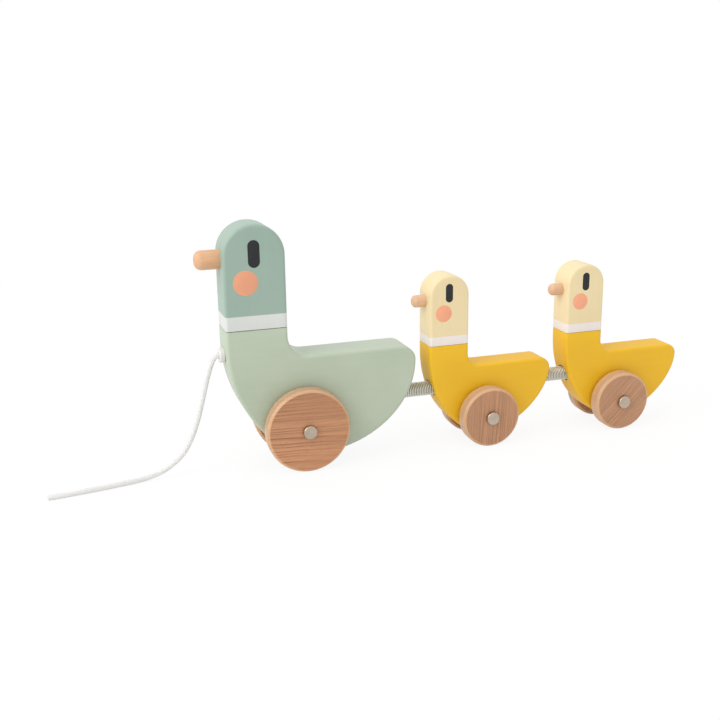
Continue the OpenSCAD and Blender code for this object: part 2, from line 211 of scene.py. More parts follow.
def settle(piece, smooth_angle=SMOOTH_ANGLE):
    """Puts a piece's place into its mesh and smooths its rounded faces."""
    only(piece)
    apply_place()
    face_out(piece)
    only(piece)
    bpy.ops.object.shade_smooth_by_angle(angle=math.radians(smooth_angle))


def finished(piece):
    """Closes a piece that was open in edit mode, and settles it."""
    shape_done()
    settle(piece)
    return piece


def shift(piece, move):
    only(piece)
    bpy.ops.transform.translate(value=Vector(move) * MM)
    apply_place()


def copy_to(piece, name, move):
    """A copy of a piece with its own mesh, moved along."""
    only(piece)
    bpy.ops.object.duplicate(linked=False)
    twin = bpy.context.object
    call(twin, name)
    shift(twin, move)
    return twin


def mirror_to(piece, name):
    """A copy of a piece on the other side of the train."""
    twin = copy_to(piece, name, (0, 0, 0))
    bpy.ops.transform.resize(value=(1, -1, 1), center_override=(0, 0, 0))
    apply_place()
    face_out(twin)
    return twin


def turned_along(direction):
    return Vector(direction).to_track_quat("Z", "Y").to_euler()


def add_rod(name, start, end, radius, sides=ROD_SIDES):
    """A plain rod between two points, the start of a turned piece."""
    start = Vector(start) * MM
    end = Vector(end) * MM
    put_down()
    bpy.ops.mesh.primitive_cylinder_add(
        vertices=sides,
        radius=radius * MM,
        depth=(end - start).length,
        location=(start + end) / 2,
        rotation=turned_along(end - start),
    )
    rod = bpy.context.object
    call(rod, name)
    apply_place()
    return rod


def drill(piece, start, end, radius):
    """A round hole from one point to another."""
    bit = add_rod("drill_bit", start, end, radius)
    use_modifier(piece, "BOOLEAN", operation="DIFFERENCE", solver="EXACT", object=bit)
    bpy.data.objects.remove(bit)


def start_curve(name, count, steps):
    """A curve and its line, with as many knots as it needs and a number of steps between them."""
    put_down()
    bpy.ops.curve.primitive_bezier_curve_add()
    curve = bpy.context.object
    curve.name = name
    line = curve.data.splines[0]
    line.bezier_points.add(count - len(line.bezier_points))
    curve.data.resolution_u = line.resolution_u = steps
    return curve, line


def as_mesh(curve):
    only(curve)
    bpy.ops.object.convert(target="MESH")
    return bpy.context.object


def saw_outline(name, knots, x, y, depth, steps):
    """A flat piece with an upright outline of knots and handles, left open in edit mode."""
    curve, line = start_curve(name, len(knots), steps)
    line.use_cyclic_u = True
    for knot, (before, place, after) in zip(line.bezier_points, knots):
        knot.handle_left_type = knot.handle_right_type = "FREE"
        for part, point in (("co", place), ("handle_left", before), ("handle_right", after)):
            setattr(knot, part, ((point[0] + x) * MM, y * MM, point[1] * MM))
    piece = as_mesh(curve)
    piece.data.name = name
    shape_open(piece)
    pick_all()
    bpy.ops.mesh.remove_doubles(threshold=OUTLINE_MERGE * MM)
    bpy.ops.mesh.edge_face_add()
    bpy.ops.mesh.dissolve_limited(angle_limit=math.radians(STRAIGHT_ANGLE))
    pick_all()
    pull((0, depth, 0))
    turn_out()
    return piece


def flat_side(axis, sign):
    """Says if a face points along an axis, 0 to 2, to one side."""
    return lambda face: sign * face.normal[axis] > FLAT


def flat_across(face):
    """Says if a face looks across the train, to either side."""
    return abs(face.normal.y) > FLAT


def on_circle(axis, centre, radius):
    """Says if an edge lies on a circle that is drawn round an axis, 0 to 2."""
    middle = Vector(centre) * MM

    def wanted(edge):
        for vertex in edge.verts:
            out = vertex.co - middle
            along = abs(out[axis])
            out[axis] = 0
            if along > NEAR * MM or abs(out.length - radius * MM) > NEAR * MM:
                return False
        return True

    return wanted


def dress(piece, body, nodes, slot, *finishes):
    """Gives a piece its finish, the body that it rides on and the solids that it stands for."""
    piece.data.materials.clear()
    for finish in finishes:
        piece.data.materials.append(finish)
    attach(piece, body)
    if nodes:
        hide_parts(*nodes)


# Finishes

# The stretch of a noise over which a finish changes: most of its range, or nearly all of it
MOST = (0.3, 0.7)
WIDE = (0.25, 0.75)


def shade(code):
    """A colour from its usual six-digit code, as the shader takes it."""
    parts = [int(code[i:i + 2], 16) / 255 for i in (1, 3, 5)]
    return tuple(p / 12.92 if p <= 0.04045 else ((p + 0.055) / 1.055) ** 2.4 for p in parts) + (1,)


class Finish:
    """A finish being mixed: its nodes, its shader, and the centre and turn of its grain."""

    def __init__(self, name, centre=(0, 0, 0), turn=(0, 0, 0)):
        self.material = bpy.data.materials.new(name)
        self.material.use_nodes = True
        self.tree = self.material.node_tree
        self.shader = self.tree.nodes["Principled BSDF"]
        self.centre = Vector(centre) * MM
        self.turn = turn
        self.place = self.node("TexCoord").outputs["Object"]

    def join(self, source, socket):
        """Links a source to a socket, or sets the socket to a colour's code or a value."""
        if isinstance(source, bpy.types.NodeSocket):
            self.tree.links.new(source, socket)
        elif isinstance(source, str):
            socket.default_value = shade(source)
        else:
            socket.default_value = source

    def node(self, kind, inputs=None, **settings):
        made = self.tree.nodes.new("ShaderNode" + kind)
        for name, value in settings.items():
            setattr(made, name, value)
        for name, source in (inputs or {}).items():
            self.join(source, made.inputs[name])
        return made

    def set(self, **inputs):
        """Links or sets the shader's own sockets."""
        for name, source in inputs.items():
            self.join(source, self.shader.inputs[name.replace("_", " ")])

    def from_centre(self):
        """The place on the piece, measured from the centre."""
        return self.node("VectorMath", {0: self.place, 1: self.centre}, operation="SUBTRACT").outputs[0]

    def mapped(self, scale=(1, 1, 1)):
        """The place from the centre, turned with the grain and stretched."""
        turned = self.node("Mapping", {"Vector": self.from_centre(), "Rotation": self.turn}).outputs[0]
        return self.node("VectorMath", {0: turned, 1: scale}, operation="MULTIPLY").outputs[0]

    def noise(self, waves, detail=2.0, roughness=0.5, place=None):
        """Even noise, with so many waves to the metre."""
        inputs = {"Vector": place or self.place, "Scale": waves, "Detail": detail, "Roughness": roughness}
        return self.node("TexNoise", inputs).outputs["Fac"]

    def grain(self, along, across, detail=2.0, roughness=0.5):
        """Noise drawn out along the grain, with so many waves to the metre along and across it."""
        return self.noise(1, detail, roughness, self.mapped((along, across, across)))

    def spread(self, value, low, high, stretch=MOST):
        """Goes from low to high while a value runs through a stretch."""
        start, end = stretch
        inputs = {"Value": value, "From Min": start, "From Max": end, "To Min": low, "To Max": high}
        return self.node("MapRange", inputs).outputs["Result"]

    def math(self, operation, a, b=0.0):
        return self.node("Math", {0: a, 1: b}, operation=operation).outputs[0]

    def distance(self, a, b):
        """How far from a line a place is, from its two distances across it."""
        squares = [self.math("MULTIPLY", side, side) for side in (a, b)]
        return self.math("SQRT", self.math("ADD", *squares))

    def weighed(self, a, a_part, b, b_part):
        return self.math("ADD", self.math("MULTIPLY", a, a_part), self.math("MULTIPLY", b, b_part))

    def blend(self, factor, a, b, how="MIX"):
        """One colour over another, each a code, a colour or a link."""
        return self.node("Mix", {0: factor, 6: a, 7: b}, data_type="RGBA", blend_type=how).outputs[2]

    def tone(self, drift, code, deep):
        """A colour that drifts to a deeper one and back."""
        return self.blend(self.spread(drift, 0, 1), deep, code)

    def stain(self, colour, strength):
        """Lightens and darkens a colour."""
        return self.blend(1.0, colour, strength, "MULTIPLY")

    def ramp(self, value, stops):
        made = self.node("ValToRGB", {"Fac": value})
        points = made.color_ramp.elements
        while len(points) < len(stops):
            points.new(0.5)
        for point, (position, code) in zip(points, stops):
            point.position = position
            point.color = shade(code)
        return made.outputs["Color"]

    def raise_grain(self, height, depth, strength):
        inputs = {"Height": height, "Strength": strength, "Distance": depth * MM}
        self.set(Normal=self.node("Bump", inputs).outputs["Normal"])


def satin_paint(name, code, deep, grain_turn=(0, 0, 0), roughness=0.38):
    """Satin paint on a sanded board: a slow drift of tone, faint grain and fine orange peel."""
    finish = Finish(name, turn=grain_turn)
    drift = finish.noise(26, detail=3)
    grain = finish.grain(along=18, across=420, detail=4, roughness=0.6)
    peel = finish.noise(1300)
    finish.set(
        Base_Color=finish.stain(finish.tone(drift, code, deep), finish.spread(grain, 0.985, 1.012)),
        Roughness=finish.spread(drift, roughness - 0.05, roughness + 0.06),
        Specular_IOR_Level=0.4,
    )
    finish.raise_grain(finish.weighed(grain, 0.6, peel, 0.4), depth=0.1, strength=0.35)
    return finish.material


def print_ink(name, code, deep, roughness=0.55):
    """Printed colour of an eye or a cheek, with the print's fine mottle."""
    finish = Finish(name)
    mottle = finish.noise(900, detail=3)
    drift = finish.noise(90)
    finish.set(
        Base_Color=finish.stain(finish.tone(drift, code, deep), finish.spread(mottle, 0.96, 1.03, WIDE)),
        Roughness=finish.spread(mottle, roughness - 0.06, roughness + 0.06),
    )
    finish.raise_grain(mottle, depth=0.05, strength=0.3)
    return finish.material


# Wheel wood: how far the pith line lies beside and below a wheel's middle
PITH_BESIDE = 30
PITH_BELOW = 48
# How much the rings lean along the grain, and how far they sway
RING_LEAN = 0.1
RING_SWAY = 4
# Uneven growth: its waves to the metre, and how many rings it shifts
GROWTH_WAVES = 130
GROWTH_SHIFT = 3.2
# How fast the rings fade towards one end of the grain, per metre
RING_FADE = -8
# Tones of the painted highlight on the eased edges and of the painted reflection, a greyish sheen, on the
# tread
EDGE_HIGHLIGHT_TONE = "#DFB485"
TREAD_SHEEN_TONE = "#B79B87"
# How strong both are at most, and where they set in, from the eased edge and from the tread
EDGE_HIGHLIGHT_STRENGTH = 0.55
EDGE_HIGHLIGHT_START = (-0.2, 0.3)
TREAD_SHEEN_STRENGTH = 0.75
TREAD_SHEEN_START = (-0.25, -0.08)
# Painted reflection stripe round the tread: half its width, its soft border, and how far out from the
# middle it lies
TREAD_SHEEN_HALF = 1.6
TREAD_SHEEN_SOFT = 0.8
TREAD_SHEEN_OFFSET = 1.7


def grow_rings(finish, ring, light, middle, dark):
    """Growth rings about a pith line: their colours, the stage in each ring, and the swayed place."""
    inputs = {"Vector": finish.mapped((16, 55, 55)), "Scale": 1, "Detail": 2}
    sway = finish.node("TexNoise", inputs).outputs["Color"]
    inputs = {0: sway, 1: (0, RING_SWAY * MM, RING_SWAY * MM), 2: finish.mapped()}
    swayed = finish.node("VectorMath", inputs, operation="MULTIPLY_ADD").outputs[0]
    place = finish.node("SeparateXYZ", {0: swayed}).outputs
    lean = finish.math("MULTIPLY", place["X"], RING_LEAN)
    beside = finish.math("ADD", finish.math("ADD", place["Y"], PITH_BESIDE * MM), lean)
    below = finish.math("ADD", place["Z"], PITH_BELOW * MM)
    out = finish.distance(beside, below)
    inputs = {"W": finish.math("MULTIPLY", out, GROWTH_WAVES), "Scale": 1, "Detail": 1}
    growth = finish.node("TexNoise", inputs, noise_dimensions="1D").outputs["Fac"]
    shifted = finish.math("MULTIPLY", growth, GROWTH_SHIFT)
    stage = finish.math("FRACT", finish.math("ADD", finish.math("DIVIDE", out, ring * MM), shifted))
    stops = ((0.0, middle), (0.12, light), (0.55, light), (0.86, middle), (0.95, dark), (1.0, middle))
    return finish.ramp(stage, stops), stage, place


def paint_rim_highlight_and_sheen(finish, colour, tread, edge):
    """Paints a highlight on a wheel's eased edges and a greyish painted reflection in a stripe of its
    tread.
    """
    spot = finish.node("SeparateXYZ", {0: finish.from_centre()}).outputs
    out = finish.distance(spot["X"], spot["Z"])
    # Painted highlight: the eased edges are lightened where they would catch the light
    edge_highlight = finish.spread(out, 0, EDGE_HIGHLIGHT_STRENGTH, [(tread - edge + start) * MM for start in EDGE_HIGHLIGHT_START])
    colour = finish.blend(edge_highlight, colour, EDGE_HIGHLIGHT_TONE)
    # Painted reflection: a greyish stripe on the tread stands in for the sheen of the white backdrop
    tread_sheen = finish.spread(out, 0, TREAD_SHEEN_STRENGTH, [(tread + start) * MM for start in TREAD_SHEEN_START])
    beside = finish.math("ADD", spot["Y"], math.copysign(TREAD_SHEEN_OFFSET * MM, -finish.centre.y))
    border = (TREAD_SHEEN_HALF * MM, (TREAD_SHEEN_HALF + TREAD_SHEEN_SOFT) * MM)
    in_sheen_stripe = finish.spread(finish.math("ABSOLUTE", beside), 1, 0, border)
    return finish.blend(finish.math("MULTIPLY", tread_sheen, in_sheen_stripe), colour, TREAD_SHEEN_TONE)


def turned_wood(name, centre, turn, tread, edge, ring, painted_bounce, light, middle, dark):
    """Clear-varnished wood of a wheel: growth rings, fibres and flecks, lighter on one side across the
    wheel as painted light bounced from the floor, with painted light on its rim.
    """
    finish = Finish(name, centre, turn)
    rings, stage, place = grow_rings(finish, ring, light, middle, dark)
    fibre = finish.grain(along=45, across=1500, detail=4, roughness=0.65)
    fleck = finish.grain(along=260, across=2600)
    broad = finish.grain(along=12, across=40)
    streak = finish.grain(along=9, across=300, detail=3, roughness=0.6)
    one_end = finish.math("ADD", broad, finish.math("MULTIPLY", place["X"], RING_FADE))
    plain = finish.blend(0.45, light, middle)
    colour = finish.blend(finish.spread(one_end, 0.2, 1.0), plain, rings)
    colour = finish.stain(colour, finish.spread(streak, 0.84, 1.1))
    colour = finish.stain(colour, finish.spread(fibre, 0.86, 1.1, WIDE))
    # Lighter on one side across the wheel, the bottom where the grain lies level: painted light bounced
    # from the floor
    across_wheel = (-tread * MM, tread * MM)
    colour = finish.stain(colour, finish.spread(place["Z"], 1 + painted_bounce, 1 - painted_bounce, across_wheel))
    colour = finish.blend(finish.spread(fleck, 0.0, 0.35, (0.58, 0.72)), colour, dark)
    finish.set(
        Base_Color=paint_rim_highlight_and_sheen(finish, colour, tread, edge),
        Roughness=finish.spread(fibre, 0.5, 0.36),
        Coat_Weight=0.15,
        Coat_Roughness=0.3,
    )
    finish.raise_grain(finish.weighed(fibre, 0.7, stage, -0.25), depth=0.12, strength=0.4)
    return finish.material


def beech(name, code, deep):
    """Beech dowel, waxed: pale wood with short darker rays along its length."""
    finish = Finish(name)
    fibre = finish.grain(along=60, across=900, detail=4, roughness=0.6)
    ray = finish.grain(along=320, across=2400)
    drift = finish.noise(70)
    tone = finish.stain(finish.tone(drift, code, deep), finish.spread(fibre, 0.92, 1.05, WIDE))
    finish.set(
        Base_Color=finish.blend(finish.spread(ray, 0, 0.3, (0.6, 0.75)), tone, deep),
        Roughness=finish.spread(fibre, 0.55, 0.42),
    )
    finish.raise_grain(fibre, depth=0.1, strength=0.3)
    return finish.material


def metal(name, code, deep, roughness):
    """Plated or drawn metal with fine scuffs."""
    finish = Finish(name)
    scuff = finish.grain(along=900, across=900, detail=4, roughness=0.6)
    drift = finish.noise(240)
    finish.set(
        Base_Color=finish.tone(drift, code, deep),
        Metallic=1.0,
        Roughness=finish.spread(scuff, roughness - 0.08, roughness + 0.1, WIDE),
    )
    finish.raise_grain(scuff, depth=0.03, strength=0.3)
    return finish.material


# Springs: height above the floor, size outside, and the distance out inside which the grooves take their
# full painted shade
SPRING_Z = 40.5
SPRING_OD = 10.0
GROOVE_SHADE_R = 4.55


def coiled_wire(name, code, deep, groove, roughness):
    """Spring wire, with painted shade in the grooves between its turns and its own tone on the outside of
    the coil.
    """
    finish = Finish(name, centre=(0, 0, SPRING_Z))
    drift = finish.noise(500, detail=3)
    spot = finish.node("SeparateXYZ", {0: finish.from_centre()}).outputs
    out = finish.distance(spot["Y"], spot["Z"])
    clear_of_groove_shade = finish.spread(out, 0, 1, (GROOVE_SHADE_R * MM, SPRING_OD / 2 * MM))
    finish.set(
        # Painted shade: the wire is darkened in the grooves between its turns
        Base_Color=finish.blend(clear_of_groove_shade, groove, finish.tone(drift, code, deep)),
        Metallic=1.0,
        Roughness=finish.spread(drift, roughness - 0.06, roughness + 0.08, WIDE),
    )
    finish.raise_grain(drift, depth=0.03, strength=0.3)
    return finish.material


def cotton(name, code, deep):
    """Soft cotton yarn: matt, with fine fibres and a slight sheen."""
    finish = Finish(name)
    fuzz = finish.noise(5200, detail=3, roughness=0.6)
    yarn = finish.noise(700)
    finish.set(
        Base_Color=finish.stain(finish.tone(yarn, code, deep), finish.spread(fuzz, 0.93, 1.04, WIDE)),
        Roughness=finish.spread(fuzz, 0.8, 0.95),
        Sheen_Weight=0.1,
    )
    finish.raise_grain(fuzz, depth=0.2, strength=0.6)
    return finish.material


def moulded_plastic(name, code, deep):
    """Moulded nylon with a fine satin skin."""
    finish = Finish(name)
    skin = finish.noise(1800)
    drift = finish.noise(120)
    finish.set(Base_Color=finish.tone(drift, code, deep), Roughness=finish.spread(skin, 0.36, 0.46))
    finish.raise_grain(skin, depth=0.05, strength=0.25)
    return finish.material


# Ways that the grain runs, as turns: along the train, upright and slanting
LYING = (0, 0, 0)
UPRIGHT = (0, math.radians(90), 0)
SLANTING = (0, math.radians(48), 0)

sage = satin_paint("sage_paint", "#B6C1AC", "#AFBBA6")
sea_green = satin_paint("sea_green_paint", "#9AAFA1", "#93AA9C", UPRIGHT)
yellow = satin_paint("yellow_paint", "#EAB91E", "#E4B219", roughness=0.5)
cream = satin_paint("cream_paint", "#E9D6AA", "#E4D0A2", UPRIGHT)
# The mother's band white is cooler than the ducklings' and darker; the darker tone is partly painted shade
shaded_cool_white = satin_paint("shaded_cool_white_paint", "#D6D8D4", "#CFD1CD", UPRIGHT)
warm_white = satin_paint("warm_white_paint", "#ECE4DD", "#E6DDD6", UPRIGHT)
charcoal = print_ink("charcoal_print", "#1D1E22", "#191A1D", 0.65)
peach_print = print_ink("peach_print", "#E49F7A", "#DF9874")
coral_print = print_ink("coral_print", "#F3A984", "#EFA17D")
beak_wood = beech("beak_wood", "#DBAD85", "#D09F76")
pale_beak_wood = beech("pale_beak_wood", "#DDB591", "#D6AB86")
birch = beech("birch", "#DCC298", "#CFB286")
nickel = metal("nickel", "#C2B2A1", "#B6A695", 0.28)
# The third colour is painted shade for the grooves between the turns
steel = coiled_wire("spring_steel", "#E6E5DB", "#DBDAD0", "#99988E", 0.32)
axle_steel = metal("axle_steel", "#B4B4B0", "#A4A4A0", 0.3)
cord_cotton = cotton("cord_cotton", "#EDECEA", "#E5E4E1")
plug_white = moulded_plastic("plug_plastic", "#E3E1DD", "#DBD9D5")


# Pull cord: a round braid of fine yarns over a core, laid along its route

CORD_D = 3.6
CORE_R = 1.3
# Yarns that run each way round, their radius, and how far out they lie
YARNS = 8
YARN_R = 0.42
YARN_OUT = 1.34
# How far a yarn rises and dips as it crosses the others, and the length in which it goes once round
YARN_WAVE = 0.12
BRAID_LEAD = 14.0
WAVE_STEPS = 5
ROUTE_STEPS = 12
# Corners of the braid under this angle are smoothed, in degrees
BRAID_SMOOTH = 60
PLUG_FACE = (-162.2, 0, 78.5)
CORD_LOW = CORD_D / 2
CORD_ROUTE = [
    (-151, 0, 78.5), PLUG_FACE, (-163.7, 0, 78.2), (-165.1, 0, 77.2), (-166.2, 0, 75.7), (-167, 0, 74),
    (-168.2, 0, 71.2), (-169.8, 0, 66.5), (-171.4, 0, 61), (-173.3, 0, 54), (-175.2, 0, 47),
    (-177.2, 0, 40), (-179.5, 0, 33), (-182.2, 0, 26.2), (-185.4, -0.2, 20), (-188.8, -0.4, 15),
    (-192.6, -0.7, 11.2), (-196.2, -1, 8.5), (-200, -1.4, 6.2), (-204.8, -2, 4.2), (-210, -2.8, 2.9),
    (-216, -3.9, 2.1), (-223, -5.4, CORD_LOW), (-230, -7, CORD_LOW), (-237, -8.4, CORD_LOW),
    (-244, -9.7, CORD_LOW), (-251, -10.9, CORD_LOW), (-258, -12, CORD_LOW), (-265, -13, CORD_LOW),
    (-271, -13.8, CORD_LOW), (-275.6, -14.4, CORD_LOW),
]


def draw_route(points):
    """The cord's own line, a smooth curve through the route's points."""
    route, line = start_curve("cord_route", len(points), ROUTE_STEPS)
    for knot, place in zip(line.bezier_points, points):
        knot.co = Vector(place) * MM
        knot.handle_left_type = knot.handle_right_type = "AUTO"
    return route


def lay_yarn(name, places, radius):
    """One yarn: a thin round thread along its places, closed at both ends."""
    put_down()
    bpy.ops.curve.primitive_nurbs_path_add()
    thread = bpy.context.object
    thread.name = name
    line = thread.data.splines[0]
    line.type = "POLY"
    line.points.add(len(places) - len(line.points))
    for point, place in zip(line.points, places):
        point.co = Vector(place).to_4d()
    thread.data.bevel_depth = radius * MM
    thread.data.bevel_resolution = 1
    thread.data.use_fill_caps = True
    return as_mesh(thread)


def braid_cord():
    """Yarns wound both ways round a core, over and under each other, then bent along the route."""
    route = draw_route(CORD_ROUTE)
    only(route)
    bpy.ops.object.duplicate(linked=False)
    line = as_mesh(bpy.context.object)
    path = [v.co.copy() for v in line.data.vertices]
    bpy.data.objects.remove(line)
    length = sum((b - a).length for a, b in zip(path, path[1:]))

    steps = round(length / (BRAID_LEAD * MM) * YARNS * WAVE_STEPS)
    cord = lay_yarn("cord_braid", [(length * i / steps, 0, 0) for i in range(steps + 1)], CORE_R)
    cord.data.name = "cord_braid"
    for way in (1, -1):
        places = []
        for i in range(steps + 1):
            angle = 2 * math.pi * i / (YARNS * WAVE_STEPS)
            out = (YARN_OUT + way * YARN_WAVE * math.cos(YARNS * angle)) * MM
            places.append((length * i / steps, out * math.cos(angle), way * out * math.sin(angle)))
        yarn = lay_yarn("yarn", places, YARN_R)
        shape_open(yarn)
        pick_all()
        bpy.ops.mesh.spin(
            steps=YARNS, dupli=True, angle=math.radians(360), center=(0, 0, 0), axis=(1, 0, 0),
        )
        pick_all()
        bpy.ops.mesh.remove_doubles(threshold=MERGE * MM)
        shape_done()
        only(cord)
        yarn.select_set(True)
        bpy.ops.object.join()
    use_modifier(cord, "CURVE", object=route, deform_axis="POS_X")
    bpy.data.objects.remove(route)
    settle(cord, BRAID_SMOOTH)
    return cord, path, length


pull_cord, cord_path, cord_length = braid_cord()
dress(pull_cord, "mother", ["pull_cord"], "cord_cotton", cord_cotton)


# The ducks, measured from the point on the floor under each axle

MOTHER = {
    "thick": 26, "chest": 49.4, "neck": 40, "seam": 96.5, "bend": 84, "top": 76, "tail": 78.6, "tip": 66,
    "belly": 7, "keel": 7.5, "hollow": 14, "front_full": 0.5, "rear_full": 0.55, "head": 67,
    "beak_d": 12.5, "beak_out": 15.8, "beak_z": 44.5, "wheel": 56, "wheel_edge": 1.6, "dowel": 8,
    "band": 105.7, "joint_chamfer": 0.15, "groove": 0.45, "eye": (-29.6, 145), "eye_size": (7.6, 17.5),
    "cheek": (-35.5, 126.9), "cheek_r": 8.05,
    "body_slot": "sage_paint", "body_paint": sage,
    "head_slot": "sea_green_paint", "head_paint": sea_green, "band_paint": shaded_cool_white,
    "beak_wood": beak_wood, "cheek_ink": peach_print,
}
DUCKLING = {
    "thick": 21, "chest": 41.8, "neck": 28.5, "seam": 72.8, "bend": 66.5, "top": 56.6, "tail": 49.8,
    "tip": 49.5, "belly": 6.5, "keel": 2.5, "hollow": 9, "front_full": 0.55, "rear_full": 0.46,
    "head": 48.2, "beak_d": 8.4, "beak_out": 9.4, "beak_z": 30, "wheel": 42, "wheel_edge": 1.6, "dowel": 6,
    "band": 79.1, "joint_chamfer": 0.2, "groove": 0.25, "eye": (-28, 109), "eye_size": (5.2, 12.7),
    "cheek": (-32, 95.1), "cheek_r": 5.8,
    "body_slot": "yellow_paint", "body_paint": yellow,
    "head_slot": "cream_paint", "head_paint": cream, "band_paint": warm_white,
    "beak_wood": pale_beak_wood, "cheek_ink": coral_print,
}
MOTHER_X = -109.6
FRONT_X = 21.6
REAR_X = 125.0
REAR_STEP = (REAR_X - FRONT_X, 0, 0)
DUCKS = {
    "mother": (MOTHER, MOTHER_X),
    "front_duckling": (DUCKLING, FRONT_X),
    "rear_duckling": (DUCKLING, REAR_X),
}

# Handle length that makes a round quarter
ROUND = 0.5523
OUTLINE_STEPS = 28
BOARD_EDGE = 2.0
EDGE_STEPS = 6
# Width of the flat ring left inside a rounded rim
FACE_RING = 0.3
# How far an outline runs on past its saw cut
SAW_OVER = 6.0
# Tail's upper corner: its length as a share of its rise, and how full it is
TAIL_CORNER = 1.1
TAIL_FULL = 0.52
JOINT_STEPS = 2
# How far the fine groove under each head runs in
GROOVE_DEEP = 1.7
AXLE_HOLE = 2.05
DOWEL_DEEP = 9.3
# How much wider than its dowel or beak a hole is, on each side
DOWEL_PLAY = 0.05
# How far a drill starts outside the wood
DRILL_OVER = 5
SPRING_HOLE = 5.8
SPRING_DEEP = 12.0
# Room left at the end of a hole
HOLE_END = 0.3
PLUG_HOLE = 3.8
PLUG_HOLE_DEEP = 14.3
BEAK_DEEP = 10.0
# Rounding of a beak's tip as a share of its radius, and the flat ring inside it
BEAK_ROUND = 0.75
BEAK_STEPS = 12
BEAK_RING = 0.15
BEAK_CHAMFER = 0.8
# Places of the spring mouths along the train
MOTHER_TAIL_MOUTH = -38.08
FRONT_CHEST_MOUTH = -15.76
FRONT_TAIL_MOUTH = 69.79
REAR_CHEST_MOUTH = 87.64


def for_each_duck(part, make):
    """A piece for every duck, where the rear duckling's is a copy of the front one's."""
    pieces = {}
    for duck_name in ("mother", "front_duckling"):
        pieces[duck_name] = make(f"{duck_name}_{part}", *DUCKS[duck_name])
    pieces["rear_duckling"] = copy_to(pieces["front_duckling"], f"rear_duckling_{part}", REAR_STEP)
    return pieces


def is_rim(edge):
    """Says if a board's side face meets its wall at an edge."""
    if len(edge.link_faces) != 2:
        return False
    wall, side = sorted(abs(face.normal.y) for face in edge.link_faces)
    return wall < WALL and side > FLAT


def saw_board(name, knots, thick, x):
    """A board sawn to an outline, with both its rims rounded over."""
    board = saw_outline(name, knots, 0, -thick / 2, thick, OUTLINE_STEPS)
    pick(board, "faces", flat_across)
    step_in(BOARD_EDGE + FACE_RING)
    pick(board, "edges", is_rim)
    round_over(BOARD_EDGE, EDGE_STEPS)
    shape_done()
    shift(board, (x, 0, 0))
    return board


def cut_level(piece, z, **sides):
    """Cuts a piece flat at a height, and clears and closes the side that is named."""
    shape_open(piece)
    pick_all()
    bpy.ops.mesh.bisect(plane_co=(0, 0, z * MM), plane_no=(0, 0, 1), **sides)
    shape_done()


def flat_at(z):
    """Says if a face lies level at a height."""

    def wanted(face):
        return abs(face.normal.z) > FLAT and abs(face.calc_center_median().z - z * MM) < NEAR * MM

    return wanted


def ease_joint(piece, z, width):
    """A fine chamfer round the flat face of a joint."""
    shape_open(piece)
    turn_out()
    round_rim(piece, flat_at(z), width, JOINT_STEPS)
    shape_done()


def step_neck(piece, z, rise):
    """Steps a neck's flat top in and up to the joint, so that a fine dark line runs round it."""
    shape_open(piece)
    pick(piece, "faces", flat_at(z))
    step_in(GROOVE_DEEP)
    pull((0, 0, rise))
    shape_done()


def straight(x, z):
    return ((x, z), (x, z), (x, z))


def body_knots(duck):
    """Outline of a duck's body: chest, belly, tail, hollow and neck, carried on above the joint."""
    chest = -duck["chest"]
    back = chest + duck["neck"]
    over = duck["seam"] + SAW_OVER
    bend, keel, belly = duck["bend"], duck["keel"], duck["belly"]
    tail, tip, top = duck["tail"], duck["tip"], duck["top"]
    front_full, rear_full = duck["front_full"], duck["rear_full"]
    rise = top - tip
    corner = TAIL_CORNER * rise
    hollow = duck["hollow"]
    reach = ROUND * hollow
    return [
        straight(chest, over),
        ((chest, bend), (chest, bend), (chest, bend - front_full * (bend - belly))),
        (
            (keel - front_full * (keel - chest), belly),
            (keel, belly),
            (keel + rear_full * (tail - keel), belly),
        ),
        ((tail, tip - rear_full * (tip - belly)), (tail, tip), (tail, tip + TAIL_FULL * rise)),
        ((tail - corner + TAIL_FULL * corner, top), (tail - corner, top), (tail - corner, top)),
        ((back + hollow, top), (back + hollow, top), (back + hollow - reach, top)),
        ((back, top + hollow - reach), (back, top + hollow), (back, top + hollow)),
        straight(back, over),
    ]


def head_knots(duck):
    """Outline of a head: a straight neck under a half round, carried on below the joint."""
    front = -duck["chest"]
    back = front + duck["neck"]
    half = duck["neck"] / 2
    middle = front + half
    low = duck["seam"] - SAW_OVER
    spring = duck["seam"] + duck["head"] - half
    top = spring + half
    reach = ROUND * half
    return [
        straight(front, low),
        straight(back, low),
        ((back, spring), (back, spring), (back, spring + reach)),
        ((middle + reach, top), (middle, top), (middle - reach, top)),
        ((front, spring + reach), (front, spring), (front, spring)),
    ]


def drill_dowel_holes(piece, duck, x, below, above):
    """Holes for the two neck dowels, from below the joint to above it."""
    middle = -duck["chest"] + duck["neck"] / 2
    for place in (middle - duck["neck"] / 4, middle + duck["neck"] / 4):
        start = (x + place, 0, duck["seam"] - below)
        end = (x + place, 0, duck["seam"] + above)
        drill(piece, start, end, duck["dowel"] / 2 + DOWEL_PLAY)


def make_body(name, duck, x):
    body = saw_board(name, body_knots(duck), duck["thick"], x)
    neck_top = duck["seam"] - duck["groove"]
    cut_level(body, neck_top, use_fill=True, clear_outer=True)
    ease_joint(body, neck_top, duck["joint_chamfer"])
    step_neck(body, neck_top, duck["groove"])
    axle_z = duck["wheel"] / 2
    drill(body, (x, -duck["thick"], axle_z), (x, duck["thick"], axle_z), AXLE_HOLE)
    drill_dowel_holes(body, duck, x, DOWEL_DEEP, SAW_OVER)
    return body


def drill_spring_hole(body, end, mouth):
    drill(body, (end, 0, SPRING_Z), (mouth, 0, SPRING_Z), SPRING_HOLE)


